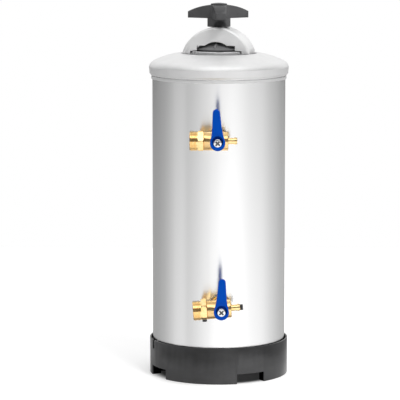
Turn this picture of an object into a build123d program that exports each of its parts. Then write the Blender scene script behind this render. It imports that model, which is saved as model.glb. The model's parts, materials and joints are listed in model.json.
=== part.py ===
"""Manual water softener: steel resin tank, two three-way taps and a screw-down filling lid.

Millimetres. The origin is on the tank's axis at floor level, +Z is up and the taps face -Y.
"""
from build123d import *
from dataclasses import dataclass
from math import cos, pi, radians, sin, sqrt
import os

os.makedirs("parts", exist_ok=True)

# Clearances and the overrun of every cut
overrun = 2.0
seat_gap = 0.3
fit_gap = 0.1
slide_gap = 0.3
full_turn = 360.0
quarter_turn = full_turn / 4
hexagon_side_count = 6

# Tank shell and its two dished ends
tank_radius = 89.5
shell_wall = 1.2
shell_bottom = 29.0
shell_top = 407.0
end_wall = 1.6
end_flange = 12.0
bottom_end_rise = 17.0
bottom_end_depth = 30.0
top_end_drop = 5.0
top_end_depth = 32.0

# Moulded base
base_overhang = 4.0
base_height = 48.5
base_wall = 2.7
base_edge_chamfer = 0.8
ledge_thickness = 3.0
inner_wall_inset = 6.8
inner_wall = 2.5
notch_count = 4
notch_azimuth = 28.0
notch_width = 41.0
notch_height = 13.5
rim_notch_azimuth = -70.4
rim_notch_width = 7.0
rim_notch_depth = 12.0
base_rib = 2.5
hub_radius = 22.0
hub_thickness = 3.0
hub_rib_count = 4
hub_rib_height = 11.0

# Neck ring and mouth
ring_side_gap = 1.7
ring_rise = 7.22
ring_edge_drop = 0.6
ring_bevel = 8.1
ring_land = 5.4
ring_spigot = 7.0
spigot_wall = 7.0
groove_drop = 3.9
groove_height = 2.1
groove_inset = 4.7

# Shoulder cover and the bead under it
cover_overhang = 4.5
cover_drop = 3.9
cover_wall = 1.2
cover_hole_gap = 5.6
cover_bend = 1.5
crown_middle_inset = 23.0
crown_middle_drop = 3.6
shoulder_inset = 8.0
shoulder_drop = 9.4
cover_side_drop = 18.0
shoulder_bulge_inset = 2.4
shoulder_bulge_drop = 13.4
cover_side_taper = 0.7
cover_lip_rise = 1.5
cover_hem_drop = 1.2
cover_hem_inset = 2.6
bead_thickness = 1.5
bead_height = 4.0
bead_gap = 1.2
bead_round = 0.6

# Resin
resin_top = 300.0
resin_clearance = 0.5

# Closure: the yoke, turned a little about the tank's axis as it sits in the grooves
closure_azimuth = -10.5
yoke_half_width = 45.2
plate_ring_gap = 1.9
yoke_side_height = 4.13
yoke_arc_extra = 3.5
yoke_wall = 4.0
yoke_plate = 3.0
yoke_edge_round = 3.6
rear_rim = 6.0
rear_sill_rise = 5.0
lip_reach_gap = 0.3
sill_outer_rise = 3.8
sill_inner_rise = 4.7
opening_lid_gap = 1.7
opening_step_rise = 10.9
opening_bump_inset = 11.0
opening_bump_rise = 16.0
bush_radius = 8.5
bush_length = 8.5
bush_flange_radius = 11.0
bush_flange = 1.4
bush_boss_radius = 13.0

# Lid and gasket
gasket_thickness = 0.9
gasket_width = 4.2
lid_rim = 1.7
lid_height = 10.0
lid_boss_radius = 8.5
lid_dish_drop = 5.6
lid_shoulder_inset = 2.9
lid_wall = 2.6
lid_rib_count = 6
lid_rib = 2.2
lid_rib_foot = 1.0

# Spindle and swivel pad
spindle_radius = 5.0
spindle_rise = 18.7
tip_radius = 1.8
tip_neck_radius = 1.2
pad_radius = 9.6
pad_thickness = 4.5
pad_edge = 0.8

# Knob
knob_turn = 3.6
lobe_count = 3
lobe_reach = 44.0
lobe_height = 17.9
lobe_tip_half_width = 7.0
lobe_root_half_width = 10.0
lobe_web_radius = 13.0
lobe_tip_round = 2.2
lobe_shoulder_radius = 27.5
lobe_shoulder_drop = 3.2
lobe_tip_drop = 9.5
knob_hub_radius = 15.5
knob_hub_height = 11.2
insert_flats = 14.0
insert_length = 14.0
cap_radius = 11.0
cap_recess = 2.4
cap_rise = 1.3
cap_dome = 1.3

# Where each tap stands on the tank and how its body, lever and hexagon are turned
upper_tap_drop = 78.7
upper_tap_azimuth = -0.6
upper_body_clocking = 0.0
upper_lever_clocking = 2.5
upper_union_clocking = 30.0
lower_tap_height = 106.9
lower_tap_azimuth = 1.4
lower_body_clocking = 4.5
lower_lever_clocking = -1.4
lower_union_clocking = 0.0

# Taps: distances along a tap's own axes, from the stem's axis and the tank's axis
tap_stand_off = 28.0
barrel_radius = 12.5
barrel_left_reach = 18.6
barrel_right = 13.6
barrel_chamfer = 0.8
cavity_radius = 9.2
cavity_right = 9.0
neck_radius = 9.0
neck_length = 15.5
packing_radius = 5.5
packing_length = 4.0
packing_floor = 10.8
stub_radius = 10.4
stub_engagement = 8.4
port_radius = 3.6
union_collar = 7.3
union_flats = 26.4
union_chamfer = 1.0
thread_radius = 13.22
thread_length = 10.9
union_bore = 8.0
thread_relief = 1.2
thread_relief_depth = 0.9
barb_radius = 4.1
barb_bulge = 4.85
barb_length = 11.6
barb_bulge_length = 3.6
barb_land = 1.4
barb_bore = 2.9
barb_spigot_radius = 6.0
ball_radius = 8.0
seat_bore = 4.6
seat_inner_face = 4.4
stem_radius = 3.2
stem_flat = 2.4
stem_tang = 2.2
stem_tang_width = 3.0
gland_flats = 16.0
gland_height = 4.2
nut_flats = 27.0
nut_thickness = 6.0
washer_thickness = 1.8
washer_radius = 14.0
socket_radius = 14.5
socket_stand_off = 1.9
socket_length = 17.4
strainer_radius = 11.0
strainer_wall = 2.0
strainer_length = 38.0
strainer_collar = 4.0
strainer_slot = 1.6
strainer_slot_count = 5
strainer_slot_pitch = 5.6
strainer_slot_half_width = 6.0

# Lever and its screw
lever_reach = 44.0
lever_tip_radius = 4.7
lever_boss_radius = 9.9
lever_waist_half_width = 6.2
lever_waist_reach = 23.5
lever_root_angle = 20.0
lever_front = 32.0
lever_boss_height = 10.0
lever_arm_thickness = 6.4
lever_edge_round = 1.1
lever_recess_radius = 6.6
lever_recess_depth = 3.0
screw_head_radius = 5.7
screw_head_height = 2.4
screw_shank_radius = 2.0
screw_shank_length = 7.0
screw_cross_length = 6.8
screw_cross_width = 1.7
screw_cross_depth = 1.6

# Lower tap only: the flow insert, and the plug in a flat milled under the hexagon
insert_radius = 3.75
insert_reach = 3.9
insert_tail = 6.0
plug_seat_depth = 11.9
plug_radius = 3.0
plug_height = 3.3
plug_tail = 2.6

# Radii and reaches that follow from those above
base_radius = tank_radius + base_overhang
inner_wall_radius = tank_radius - inner_wall_inset
cover_radius = tank_radius + cover_overhang
cover_hole_radius = yoke_half_width + cover_hole_gap
crown_middle_radius = cover_radius - crown_middle_inset
shoulder_radius = cover_radius - shoulder_inset
shoulder_bulge_radius = cover_radius - shoulder_bulge_inset
cover_hem_radius = cover_radius - cover_hem_inset
end_radius = tank_radius - shell_wall
tap_axis = tank_radius + tap_stand_off
socket_face = tank_radius + socket_stand_off
stub_end = socket_face - stub_engagement
barrel_left = -barrel_left_reach
lever_front_plane = tap_axis + lever_front
lever_back_plane = lever_front_plane - lever_boss_height
yoke_inner_half_width = yoke_half_width - yoke_wall
yoke_arc_radius = yoke_half_width + yoke_arc_extra
yoke_inner_radius = yoke_arc_radius - yoke_wall
ring_radius = yoke_inner_half_width - ring_side_gap
ring_land_radius = ring_radius - ring_bevel
mouth_radius = ring_land_radius - ring_land
neck_hole_radius = mouth_radius + spigot_wall
groove_half_spacing = ring_radius - groove_inset
lip_inner = groove_half_spacing + lip_reach_gap
lid_radius = ring_land_radius
lid_shoulder_radius = lid_radius - lid_shoulder_inset
lid_dish_radius = (lid_boss_radius + lid_shoulder_radius) / 2
plate_reach = sqrt(ring_radius**2 - lip_inner**2) + plate_ring_gap
yoke_depth = 2 * (plate_reach + yoke_plate)
opening_step_half_width = sqrt(lid_radius**2 - plate_reach**2) + opening_lid_gap
opening_bump_half_width = opening_step_half_width - opening_bump_inset

# Heights that follow, from the shell's top to the knob's crown
upper_tap_height = shell_top - upper_tap_drop
bottom_end_rim = shell_bottom + bottom_end_rise
top_end_rim = shell_top - top_end_drop
ring_seat = top_end_rim + top_end_depth * sqrt(1 - (neck_hole_radius / end_radius) ** 2)
ring_top = ring_seat + ring_rise
groove_floor = ring_top - groove_drop
cover_top = ring_top - cover_drop
cover_lip_height = shell_top + cover_lip_rise
cover_hem_height = shell_top - cover_hem_drop
bead_top = cover_hem_height - bead_gap
bead_bottom = bead_top - bead_height
lip_bottom = groove_floor + slide_gap
lip_top = groove_floor + groove_height - slide_gap
opening_sill_outer = groove_floor + sill_outer_rise
opening_sill_inner = groove_floor + sill_inner_rise
opening_step = groove_floor + opening_step_rise
opening_bump_top = groove_floor + opening_bump_rise
rear_sill = groove_floor + rear_sill_rise
yoke_arc_rise = yoke_arc_radius - sqrt(yoke_arc_radius**2 - yoke_half_width**2)
yoke_top = lip_bottom + yoke_side_height + yoke_arc_rise
yoke_arc_centre = yoke_top - yoke_arc_radius
bush_bottom = yoke_top - bush_length
gasket_bottom = ring_top + 2 * fit_gap
lid_bottom = gasket_bottom + gasket_thickness
lid_top = lid_bottom + lid_height
pad_bottom = lid_top + seat_gap
knob_bottom = yoke_top + seat_gap
spindle_top = knob_bottom + spindle_rise
lobe_bottom = knob_bottom + knob_hub_height
lobe_root_top = lobe_bottom + lobe_height
lobe_shoulder_top = lobe_root_top - lobe_shoulder_drop
lobe_tip_top = lobe_root_top - lobe_tip_drop
FROM_BASE = (Align.CENTER, Align.CENTER, Align.MIN)


def polar(azimuth):
    """Angle in the XY plane of an azimuth that counts from the front towards +X."""
    return azimuth - quarter_turn


def end_height(radius):
    """Height of the outer face of the top end at a distance from the axis."""
    return top_end_rim + top_end_depth * sqrt(1 - (radius / end_radius) ** 2)


def rod(plane, radius, length, mode=Mode.ADD):
    """Round bar that starts on a plane and runs along its normal."""
    with Locations(plane):
        Cylinder(radius, length, align=FROM_BASE, mode=mode)


# Moulded base
with BuildPart() as base_skirt:
    with BuildSketch(Plane.XZ):
        with BuildLine():
            Polyline(
                (inner_wall_radius - inner_wall, 0),
                (inner_wall_radius, 0),
                (inner_wall_radius, shell_bottom - ledge_thickness),
                (base_radius - base_wall, shell_bottom - ledge_thickness),
                (base_radius - base_wall, 0),
                (base_radius - base_edge_chamfer, 0),
                (base_radius, base_edge_chamfer),
                (base_radius, base_height),
                (base_radius - base_wall, base_height),
                (base_radius - base_wall, shell_bottom),
                (inner_wall_radius - inner_wall, shell_bottom),
                close=True,
            )
        make_face()
    revolve(axis=Axis.Z)
    rod(Plane.XY, hub_radius, hub_thickness)
    hub_rib_length = inner_wall_radius - inner_wall / 2
    with PolarLocations(0, hub_rib_count):
        with Locations((hub_rib_length / 2, 0)):
            Box(hub_rib_length, base_rib, hub_rib_height, align=FROM_BASE)
    cheek_offset = (notch_width + base_rib) / 2
    cheek_start = sqrt((inner_wall_radius - inner_wall / 2) ** 2 - cheek_offset**2)
    cheek_length = sqrt((base_radius - base_wall / 2) ** 2 - cheek_offset**2) - cheek_start
    with PolarLocations(0, notch_count, start_angle=polar(notch_azimuth)):
        with Locations(
            (cheek_start + cheek_length / 2, cheek_offset),
            (cheek_start + cheek_length / 2, -cheek_offset),
        ):
            Box(cheek_length, base_rib, shell_bottom - ledge_thickness, align=FROM_BASE)
    notch_start = sqrt((inner_wall_radius - inner_wall) ** 2 - (notch_width / 2) ** 2) - overrun
    notch_depth = base_radius + overrun - notch_start
    with PolarLocations(notch_start + notch_depth / 2, notch_count, start_angle=polar(notch_azimuth)):
        Box(notch_depth, notch_width, 2 * notch_height, mode=Mode.SUBTRACT)
    with Locations(Plane.XY.offset(base_height)):
        with PolarLocations(base_radius, 1, start_angle=polar(rim_notch_azimuth)):
            Box(4 * base_wall, rim_notch_width, 2 * rim_notch_depth, mode=Mode.SUBTRACT)

base_skirt.part.label = "base_skirt"
export_step(base_skirt.part, "parts/base_skirt.step")


@dataclass
class Tap:
    """A three-way tap: where it stands on the tank and how its body and lever are turned."""

    name: str
    azimuth: float
    height: float
    body_clocking: float
    lever_clocking: float
    union_clocking: float

    def outward(self, distance, clocking=0.0):
        """Plane that faces away from the tank, with its X axis turned by the clocking."""
        front = Vector(sin(radians(self.azimuth)), -cos(radians(self.azimuth)), 0)
        right = Vector(cos(radians(self.azimuth)), sin(radians(self.azimuth)), 0)
        turned = right * cos(radians(clocking)) + Vector(0, 0, 1) * sin(radians(clocking))
        return Plane(front * distance + Vector(0, 0, self.height), x_dir=turned, z_dir=front)

    def along(self, reach):
        """Plane across the body's axis, facing the barb, at a distance from the stem's axis."""
        middle = self.outward(tap_axis, self.body_clocking)
        return Plane(middle.origin + middle.x_dir * reach, x_dir=middle.y_dir, z_dir=middle.x_dir)


taps = [
    Tap(
        "upper", upper_tap_azimuth, upper_tap_height,
        upper_body_clocking, upper_lever_clocking, upper_union_clocking,
    ),
    Tap(
        "lower", lower_tap_azimuth, lower_tap_height,
        lower_body_clocking, lower_lever_clocking, lower_union_clocking,
    ),
]

# Tank shell, open at both ends and bored for the two sockets
with BuildPart() as tank_shell:
    with BuildSketch(Plane.XY.offset(shell_bottom)):
        Circle(tank_radius)
        Circle(end_radius, mode=Mode.SUBTRACT)
    extrude(amount=shell_top - shell_bottom)
    for tap in taps:
        rod(tap.outward(tank_radius - 4 * shell_wall), socket_radius + fit_gap, 8 * shell_wall,
            mode=Mode.SUBTRACT)

tank_shell.part.label = "tank_shell"
export_step(tank_shell.part, "parts/tank_shell.step")

# Dished ends: a straight flange and half an ellipse
with BuildPart() as tank_bottom:
    with BuildSketch(Plane.XZ):
        with BuildLine():
            outer = EllipticalCenterArc(
                (0, bottom_end_rim), end_radius, bottom_end_depth, -quarter_turn, arc_size=quarter_turn
            )
            inner = EllipticalCenterArc(
                (0, bottom_end_rim), end_radius - end_wall, bottom_end_depth - end_wall,
                -quarter_turn, arc_size=quarter_turn,
            )
            Line(outer @ 0, inner @ 0)
            Polyline(
                outer @ 1,
                (end_radius, bottom_end_rim + end_flange),
                (end_radius - end_wall, bottom_end_rim + end_flange),
                inner @ 1,
            )
        make_face()
    revolve(axis=Axis.Z)

tank_bottom.part.label = "tank_bottom"
export_step(tank_bottom.part, "parts/tank_bottom.step")

with BuildPart() as tank_top:
    with BuildSketch(Plane.XZ):
        with BuildLine():
            outer = EllipticalCenterArc(
                (0, top_end_rim), end_radius, top_end_depth, arc_size=quarter_turn
            )
            inner = EllipticalCenterArc(
                (0, top_end_rim), end_radius - end_wall, top_end_depth - end_wall, arc_size=quarter_turn
            )
            Line(outer @ 1, inner @ 1)
            Polyline(
                outer @ 0,
                (end_radius, top_end_rim - end_flange),
                (end_radius - end_wall, top_end_rim - end_flange),
                inner @ 0,
            )
        make_face()
    revolve(axis=Axis.Z)
    rod(Plane.XY.offset(top_end_rim), neck_hole_radius, top_end_depth + overrun, mode=Mode.SUBTRACT)

tank_top.part.label = "tank_top"
export_step(tank_top.part, "parts/tank_top.step")


def closure_front(distance=0.0, azimuth=closure_azimuth):
    """Plane that faces out of the yoke's front, with its Y axis upwards."""
    front = Vector(sin(radians(azimuth)), -cos(radians(azimuth)), 0)
    right = Vector(cos(radians(azimuth)), sin(radians(azimuth)), 0)
    return Plane(front * distance, x_dir=right, z_dir=front)


# Neck ring: a turned mouth with a straight groove on each side for the yoke's lips
with BuildPart() as neck_ring:
    with BuildSketch(Plane.XZ):
        with BuildLine():
            Polyline(
                (mouth_radius, ring_seat - ring_spigot),
                (neck_hole_radius - fit_gap, ring_seat - ring_spigot),
                (neck_hole_radius - fit_gap, ring_seat + fit_gap),
                (ring_radius, ring_seat + fit_gap),
                (ring_radius, ring_top - 2 * ring_edge_drop),
                (ring_radius - ring_edge_drop, ring_top - ring_edge_drop),
                (ring_land_radius, ring_top),
                (mouth_radius, ring_top),
                close=True,
            )
        make_face()
    revolve(axis=Axis.Z)
    groove_reach = ring_radius + overrun
    groove_depth = groove_reach - groove_half_spacing
    with BuildSketch(closure_front(groove_reach)):
        with Locations(
            (groove_half_spacing + groove_depth / 2, groove_floor + groove_height / 2),
            (-groove_half_spacing - groove_depth / 2, groove_floor + groove_height / 2),
        ):
            Rectangle(groove_depth, groove_height)
    extrude(amount=-2 * groove_reach, mode=Mode.SUBTRACT)

neck_ring.part.label = "neck_ring"
export_step(neck_ring.part, "parts/neck_ring.step")

# Shoulder cover: one pressed sheet with a turned-down hole edge and a turned-in hem
with BuildPart() as top_cover:
    side_top = cover_top - cover_side_drop
    lip_radius = cover_radius - cover_side_taper
    hole_edge = end_height(cover_hole_radius) + seat_gap
    bend_share = 1 - 1 / sqrt(2)
    with BuildSketch(Plane.XZ):
        with BuildLine():
            Line((cover_hole_radius, hole_edge), (cover_hole_radius, cover_top - cover_bend))
            ThreePointArc(
                (cover_hole_radius, cover_top - cover_bend),
                (cover_hole_radius + cover_bend * bend_share, cover_top - cover_bend * bend_share),
                (cover_hole_radius + cover_bend, cover_top),
            )
            ThreePointArc(
                (cover_hole_radius + cover_bend, cover_top),
                (crown_middle_radius, cover_top - crown_middle_drop),
                (shoulder_radius, cover_top - shoulder_drop),
            )
            ThreePointArc(
                (shoulder_radius, cover_top - shoulder_drop),
                (shoulder_bulge_radius, cover_top - shoulder_bulge_drop),
                (cover_radius, side_top),
            )
            Line((cover_radius, side_top), (lip_radius, cover_lip_height))
            Line((lip_radius, cover_lip_height), (cover_hem_radius, cover_hem_height))
            Polyline(
                (cover_hem_radius, cover_hem_height),
                (tank_radius + seat_gap, cover_hem_height),
                (tank_radius + seat_gap, cover_hem_height + cover_wall),
                (cover_hem_radius - cover_wall / 2, cover_hem_height + cover_wall),
                (lip_radius - cover_wall, cover_lip_height + cover_wall / 2),
                (cover_radius - cover_wall, side_top),
            )
            ThreePointArc(
                (cover_radius - cover_wall, side_top),
                (shoulder_bulge_radius - cover_wall, cover_top - shoulder_bulge_drop - cover_wall / 2),
                (shoulder_radius - cover_wall / 2, cover_top - shoulder_drop - cover_wall),
            )
            ThreePointArc(
                (shoulder_radius - cover_wall / 2, cover_top - shoulder_drop - cover_wall),
                (crown_middle_radius, cover_top - crown_middle_drop - cover_wall),
                (cover_hole_radius + cover_bend, cover_top - cover_wall),
            )
            Polyline(
                (cover_hole_radius + cover_bend, cover_top - cover_wall),
                (cover_hole_radius + cover_wall, cover_top - cover_bend),
                (cover_hole_radius + cover_wall, hole_edge),
                (cover_hole_radius, hole_edge),
            )
        make_face()
    revolve(axis=Axis.Z)

top_cover.part.label = "top_cover"
export_step(top_cover.part, "parts/top_cover.step")

with BuildPart() as trim_ring:
    with BuildSketch(Plane.XZ):
        with Locations((tank_radius + bead_thickness / 2, (bead_bottom + bead_top) / 2)):
            Rectangle(bead_thickness, bead_top - bead_bottom)
    revolve(axis=Axis.Z)
    fillet(trim_ring.edges().filter_by(GeomType.CIRCLE).group_by(SortBy.RADIUS)[-1], bead_round)

trim_ring.part.label = "trim_ring"
export_step(trim_ring.part, "parts/trim_ring.step")

# Sockets welded through the shell, and the strainers screwed into their inner ends
socket_back = socket_face - socket_length
strainer_mouth = socket_back - strainer_collar
strainer_end = strainer_mouth - strainer_length


def build_socket(tap):
    """Threaded boss that a tap screws into."""
    with BuildPart() as socket:
        rod(tap.outward(socket_back), socket_radius, socket_length)
        rod(tap.outward(socket_back - overrun), stub_radius + fit_gap, socket_length + 2 * overrun,
            mode=Mode.SUBTRACT)
    socket.part.label = f"{tap.name}_socket"
    export_step(socket.part, f"parts/{socket.part.label}.step")


def build_strainer(tap):
    """Slotted tube, closed at its inner end, that keeps the resin in the tank."""
    with BuildPart() as strainer:
        rod(tap.outward(strainer_end), strainer_radius, strainer_length)
        rod(tap.outward(strainer_mouth), socket_radius - fit_gap, strainer_collar)
        rod(tap.outward(socket_back), stub_radius, stub_end - socket_back - seat_gap)
        rod(tap.outward(strainer_end + strainer_wall), strainer_radius - strainer_wall,
            stub_end - strainer_end, mode=Mode.SUBTRACT)
        first_slot = strainer_end + strainer_length / 2
        first_slot -= strainer_slot_pitch * (strainer_slot_count - 1) / 2
        for number in range(strainer_slot_count):
            with Locations(tap.outward(first_slot + strainer_slot_pitch * number)):
                Box(2 * strainer_slot_half_width, 3 * strainer_radius, strainer_slot, mode=Mode.SUBTRACT)
    strainer.part.label = f"{tap.name}_strainer"
    export_step(strainer.part, f"parts/{strainer.part.label}.step")


for tap in taps:
    build_socket(tap)
    build_strainer(tap)

# Resin bed: fills the lower end and the shell up to its level, round the lower socket and strainer
with BuildPart() as resin_bed:
    bed_radius = end_radius - end_wall - resin_clearance
    bed_bowl = bottom_end_depth - end_wall - resin_clearance
    with BuildSketch(Plane.XZ):
        with BuildLine():
            bowl = EllipticalCenterArc(
                (0, bottom_end_rim), bed_radius, bed_bowl, -quarter_turn, arc_size=quarter_turn
            )
            Polyline(bowl @ 1, (bed_radius, resin_top), (0, resin_top), bowl @ 0)
        make_face()
    revolve(axis=Axis.Z)
    for tap in taps:
        rod(tap.outward(strainer_end - resin_clearance), socket_radius + resin_clearance,
            socket_face - strainer_end, mode=Mode.SUBTRACT)

resin_bed.part.label = "resin_bed"
export_step(resin_bed.part, "parts/resin_bed.step")


def build_tap_body(tap):
    """Forged body: a barrel across, a neck for the stem and a stub that screws into the tank."""
    with BuildPart() as body:
        rod(tap.along(barrel_left), barrel_radius, barrel_right - barrel_left)
        barrel_rims = body.edges().filter_by(GeomType.CIRCLE)
        chamfer(barrel_rims, barrel_chamfer)
        rod(tap.outward(tap_axis), neck_radius, neck_length)
        rod(tap.outward(stub_end), stub_radius, tap_axis - stub_end)
        rod(tap.along(barrel_left - overrun), cavity_radius + fit_gap,
            cavity_right + overrun - barrel_left, mode=Mode.SUBTRACT)
        rod(tap.along(cavity_right), barb_spigot_radius + fit_gap,
            barrel_right + overrun - cavity_right, mode=Mode.SUBTRACT)
        rod(tap.outward(stub_end - overrun), port_radius, tap_axis + overrun - stub_end,
            mode=Mode.SUBTRACT)
        rod(tap.outward(tap_axis), stem_radius + fit_gap, neck_length + overrun, mode=Mode.SUBTRACT)
        rod(tap.outward(tap_axis + packing_floor), packing_radius + fit_gap,
            neck_length + overrun - packing_floor, mode=Mode.SUBTRACT)
    body.part.label = f"{tap.name}_body"
    export_step(body.part, f"parts/{body.part.label}.step")


def plug_plane(tap):
    """Plane of the flat under the hexagon, facing up into the metal, where the small plug goes in."""
    collar = tap.along(barrel_left - union_collar / 2)
    return Plane(collar.origin - collar.x_dir * plug_seat_depth, x_dir=collar.z_dir, z_dir=collar.x_dir)


def build_union(tap):
    """Hexagon with a threaded end to the left and a spigot that holds the left seat."""
    collar_left = barrel_left - union_collar
    with BuildPart() as union:
        with BuildSketch(tap.along(collar_left)):
            RegularPolygon(
                union_flats / 2, hexagon_side_count, major_radius=False, rotation=tap.union_clocking
            )
        extrude(amount=union_collar)
        with BuildSketch(tap.along(collar_left)):
            Circle(union_flats / 2 / cos(pi / hexagon_side_count) - union_chamfer / 2)
        extrude(amount=union_collar, mode=Mode.INTERSECT)
        rod(tap.along(collar_left - thread_length), thread_radius, thread_length)
        thread_end = union.faces().sort_by(Axis(tap.along(0).origin, tap.along(0).z_dir))[0]
        chamfer(thread_end.edges(), union_chamfer)
        with BuildSketch(tap.along(collar_left - thread_relief)):
            Circle(thread_radius + overrun)
            Circle(thread_radius - thread_relief_depth, mode=Mode.SUBTRACT)
        extrude(amount=thread_relief, mode=Mode.SUBTRACT)
        rod(tap.along(barrel_left), cavity_radius, barrel_left_reach - ball_radius - fit_gap)
        rod(tap.along(collar_left - thread_length - overrun), union_bore,
            thread_length + union_collar + overrun, mode=Mode.SUBTRACT)
        rod(tap.along(barrel_left - overrun), seat_bore, barrel_left_reach, mode=Mode.SUBTRACT)
        if tap.name == "lower":
            with Locations(plug_plane(tap).offset(-union_flats / 2)):
                Box(union_collar + 2 * fit_gap, union_flats, union_flats / 2, align=FROM_BASE,
                    mode=Mode.SUBTRACT)
            rod(plug_plane(tap), plug_radius - fit_gap, plug_tail + fit_gap, mode=Mode.SUBTRACT)
    union.part.label = f"{tap.name}_union"
    export_step(union.part, f"parts/{union.part.label}.step")


def build_seats(tap):
    """Two rings, one on each side of the ball, hollowed to its curve."""
    middle = tap.outward(tap_axis, tap.body_clocking)
    seat_length = ball_radius - seat_inner_face
    seat_width = cavity_radius - fit_gap - seat_bore
    with BuildPart() as seats:
        with BuildSketch(middle):
            with Locations(
                (seat_inner_face + seat_length / 2, seat_bore + seat_width / 2),
                (-seat_inner_face - seat_length / 2, seat_bore + seat_width / 2),
            ):
                Rectangle(seat_length, seat_width)
            Circle(ball_radius + fit_gap, mode=Mode.SUBTRACT)
        revolve(axis=Axis(middle.origin, middle.x_dir))
    seats.part.label = f"{tap.name}_seats"
    export_step(seats.part, f"parts/{seats.part.label}.step")


def build_barb(tap):
    """Hose barb with a spigot that screws into the body's right end."""
    bulge_start = barrel_right + barb_length - barb_bulge_length
    with BuildPart() as barb:
        rod(tap.along(cavity_right), barb_spigot_radius, barrel_right - cavity_right)
        rod(tap.along(barrel_right), barb_radius, barb_length)
        rod(tap.along(bulge_start), barb_bulge, barb_land)
        with BuildSketch(tap.along(bulge_start + barb_land)):
            Circle(barb_bulge)
        with BuildSketch(tap.along(bulge_start + barb_bulge_length)):
            Circle(barb_radius)
        loft()
        rod(tap.along(cavity_right - overrun), barb_bore, barb_length + barrel_right, mode=Mode.SUBTRACT)
    barb.part.label = f"{tap.name}_barb"
    export_step(barb.part, f"parts/{barb.part.label}.step")


def build_gland(tap):
    """Hexagonal gland nut on the neck, bored for the stem."""
    with BuildPart() as gland:
        with BuildSketch(tap.outward(tap_axis + neck_length)):
            RegularPolygon(gland_flats / 2, hexagon_side_count, major_radius=False)
        extrude(amount=gland_height)
        rod(tap.outward(tap_axis + packing_floor + packing_length), packing_radius,
            neck_length - packing_floor - packing_length)
        rod(tap.outward(tap_axis), stem_radius + fit_gap, neck_length + gland_height + overrun,
            mode=Mode.SUBTRACT)
    gland.part.label = f"{tap.name}_gland"
    export_step(gland.part, f"parts/{gland.part.label}.step")


def build_packing(tap):
    """Stem packing between the body and the gland nut."""
    with BuildPart() as packing:
        with BuildSketch(tap.outward(tap_axis + packing_floor)):
            Circle(packing_radius)
            Circle(stem_radius + fit_gap, mode=Mode.SUBTRACT)
        extrude(amount=packing_length)
    packing.part.label = f"{tap.name}_packing"
    export_step(packing.part, f"parts/{packing.part.label}.step")


def build_lock_nut(tap):
    """Nut that locks the stub against the sealing washer."""
    with BuildPart() as lock_nut:
        with BuildSketch(tap.outward(socket_face + washer_thickness, tap.body_clocking)):
            RegularPolygon(nut_flats / 2, hexagon_side_count, major_radius=False)
            Circle(stub_radius + fit_gap, mode=Mode.SUBTRACT)
        extrude(amount=nut_thickness)
    lock_nut.part.label = f"{tap.name}_lock_nut"
    export_step(lock_nut.part, f"parts/{lock_nut.part.label}.step")


def build_washer(tap):
    """Sealing washer on the socket's face."""
    with BuildPart() as washer:
        with BuildSketch(tap.outward(socket_face)):
            Circle(washer_radius)
            Circle(stub_radius + fit_gap, mode=Mode.SUBTRACT)
        extrude(amount=washer_thickness)
    washer.part.label = f"{tap.name}_washer"
    export_step(washer.part, f"parts/{washer.part.label}.step")


def build_ball(tap):
    """Ball with an L-shaped port: to the tank behind, and out on the lever's side."""
    with BuildPart() as ball:
        with Locations(tap.outward(tap_axis)):
            Sphere(ball_radius)
        rod(tap.outward(tap_axis - ball_radius - overrun), port_radius, ball_radius + overrun,
            mode=Mode.SUBTRACT)
        side = tap.outward(tap_axis, tap.lever_clocking)
        rod(Plane(side.origin, x_dir=side.x_dir, z_dir=side.y_dir), port_radius,
            ball_radius + overrun, mode=Mode.SUBTRACT)
        with Locations(side):
            Sphere(port_radius, mode=Mode.SUBTRACT)
        with Locations(tap.outward(tap_axis + ball_radius - stem_tang / 2, tap.lever_clocking)):
            Box(2 * ball_radius, stem_tang_width + 2 * fit_gap, stem_tang, mode=Mode.SUBTRACT)
    ball.part.label = f"{tap.name}_ball"
    export_step(ball.part, f"parts/{ball.part.label}.step")


def build_stem(tap):
    """Stem with a tang in the ball's slot and two flats under the lever."""
    tang_bottom = tap_axis + ball_radius - stem_tang + fit_gap
    stem_end = lever_front_plane - lever_recess_depth - fit_gap
    flat_start = tap_axis + neck_length + gland_height + fit_gap
    with BuildPart() as stem:
        with BuildSketch(tap.outward(tang_bottom, tap.lever_clocking)):
            Circle(stem_radius)
            Rectangle(2 * stem_radius, stem_tang_width, mode=Mode.INTERSECT)
        extrude(amount=stem_tang)
        rod(tap.outward(tap_axis + ball_radius + fit_gap), stem_radius,
            flat_start - tap_axis - ball_radius)
        with BuildSketch(tap.outward(flat_start, tap.lever_clocking)):
            Circle(stem_radius)
            Rectangle(2 * stem_radius, 2 * stem_flat, mode=Mode.INTERSECT)
        extrude(amount=stem_end - flat_start)
        rod(tap.outward(stem_end - screw_shank_length), screw_shank_radius + fit_gap,
            screw_shank_length + overrun, mode=Mode.SUBTRACT)
    stem.part.label = f"{tap.name}_stem"
    export_step(stem.part, f"parts/{stem.part.label}.step")


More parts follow.
